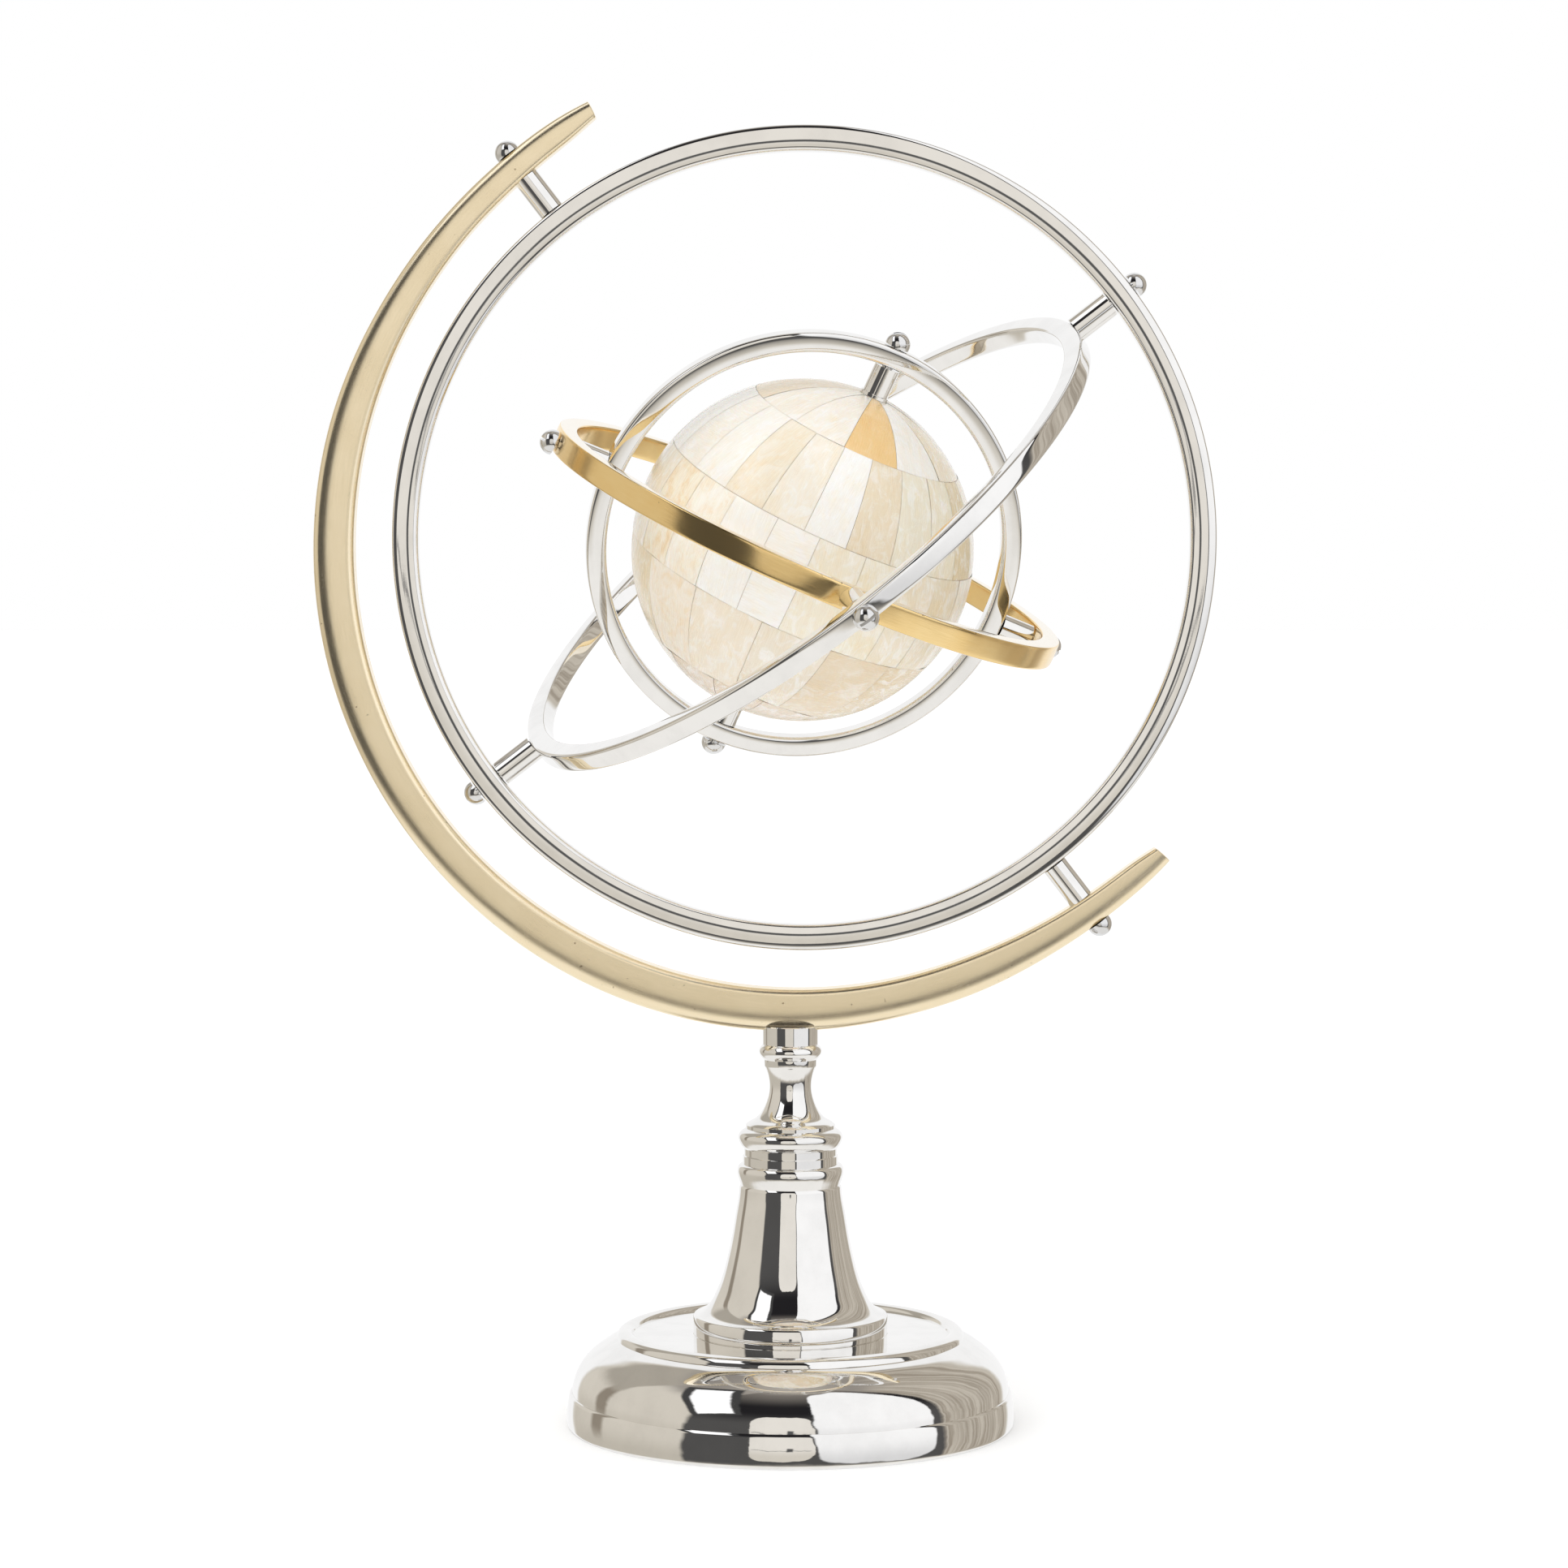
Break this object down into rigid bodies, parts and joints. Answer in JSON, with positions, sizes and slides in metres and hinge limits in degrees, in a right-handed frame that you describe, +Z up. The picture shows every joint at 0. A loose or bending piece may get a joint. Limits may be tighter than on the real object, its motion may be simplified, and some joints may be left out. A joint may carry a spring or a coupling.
{
  "type": "armillary sphere",
  "caption": "Display armillary sphere: nested gimbal rings and a bone-tiled globe turn inside a crescent arc on a turned column and domed base.",
  "frame": {"origin": "centre of the underside of the base", "axes": "+Z up along the column, +X to the right of the displayed front view, +Y away from the viewer; the crescent arc lies in the XZ plane"},
  "size_m": [0.3336, 0.2556, 0.4903],
  "materials": {
    "nickel": "mirror polished nickel plate",
    "nickel_screw": "polished nickel plated screws",
    "steel": "plain steel",
    "satin_brass": "fine satin pale brass",
    "polished_brass": "polished brass with faint brushing",
    "bone": "polished bone tile mosaic, ivory with amber staining",
    "core": "cast resin, hidden",
    "felt": "black felt"
  },
  "bodies": {
    "stand": {"base_dome": "nickel", "base_felt_pad": "felt", "tie_rod": "steel", "tie_rod_washer": "steel", "tie_rod_nut": "steel", "column_foot": "nickel", "column_bell": "nickel", "column_bead_lower": "nickel", "column_band": "nickel", "column_bead_upper": "nickel", "column_neck": "nickel", "column_bead_top": "nickel", "column_cap": "nickel", "crescent_arc": "satin_brass"},
    "ring_one": {"ring_1": "nickel", "ring_1_screws": "nickel_screw", "ring_1_spacers": "nickel"},
    "ring_two": {"ring_2": "nickel", "ring_2_screws": "nickel_screw", "ring_2_spacers": "nickel"},
    "ring_three": {"ring_3": "polished_brass", "ring_3_screws": "nickel_screw", "ring_3_spacers": "nickel"},
    "ring_four": {"ring_4": "nickel", "ring_4_screws": "nickel_screw", "ring_4_spacers": "nickel"},
    "globe": {"globe_core": "core", "globe_tile_skin": "bone", "globe_screws": "nickel_screw", "globe_spacers": "nickel", "globe_flanges": "nickel"}
  },
  "joints": [
    {"name": "ring_one_pivot", "type": "hinge", "parent": "stand", "child": "ring_one", "pos_m": [0.0051, 0, 0.32965], "axis": [-0.6101, 0, 0.7923], "continuous": true},
    {"name": "ring_two_pivot", "type": "hinge", "parent": "ring_one", "child": "ring_two", "pos_m": [0.0051, 0, 0.32965], "axis": [0.7923, 0, 0.6101], "continuous": true},
    {"name": "ring_three_pivot", "type": "hinge", "parent": "ring_two", "child": "ring_three", "pos_m": [0.00581, 0.00031, 0.32873], "axis": [0.1559, -0.9668, -0.2024], "continuous": true},
    {"name": "ring_four_pivot", "type": "hinge", "parent": "ring_three", "child": "ring_four", "pos_m": [0.00521, 0.00049, 0.32737], "axis": [-0.9022, -0.2228, 0.3694], "continuous": true},
    {"name": "globe_pivot", "type": "hinge", "parent": "ring_four", "child": "globe", "pos_m": [0.00446, 0.00084, 0.32577], "axis": [0.4121, -0.1921, 0.8906], "continuous": true}
  ]
}
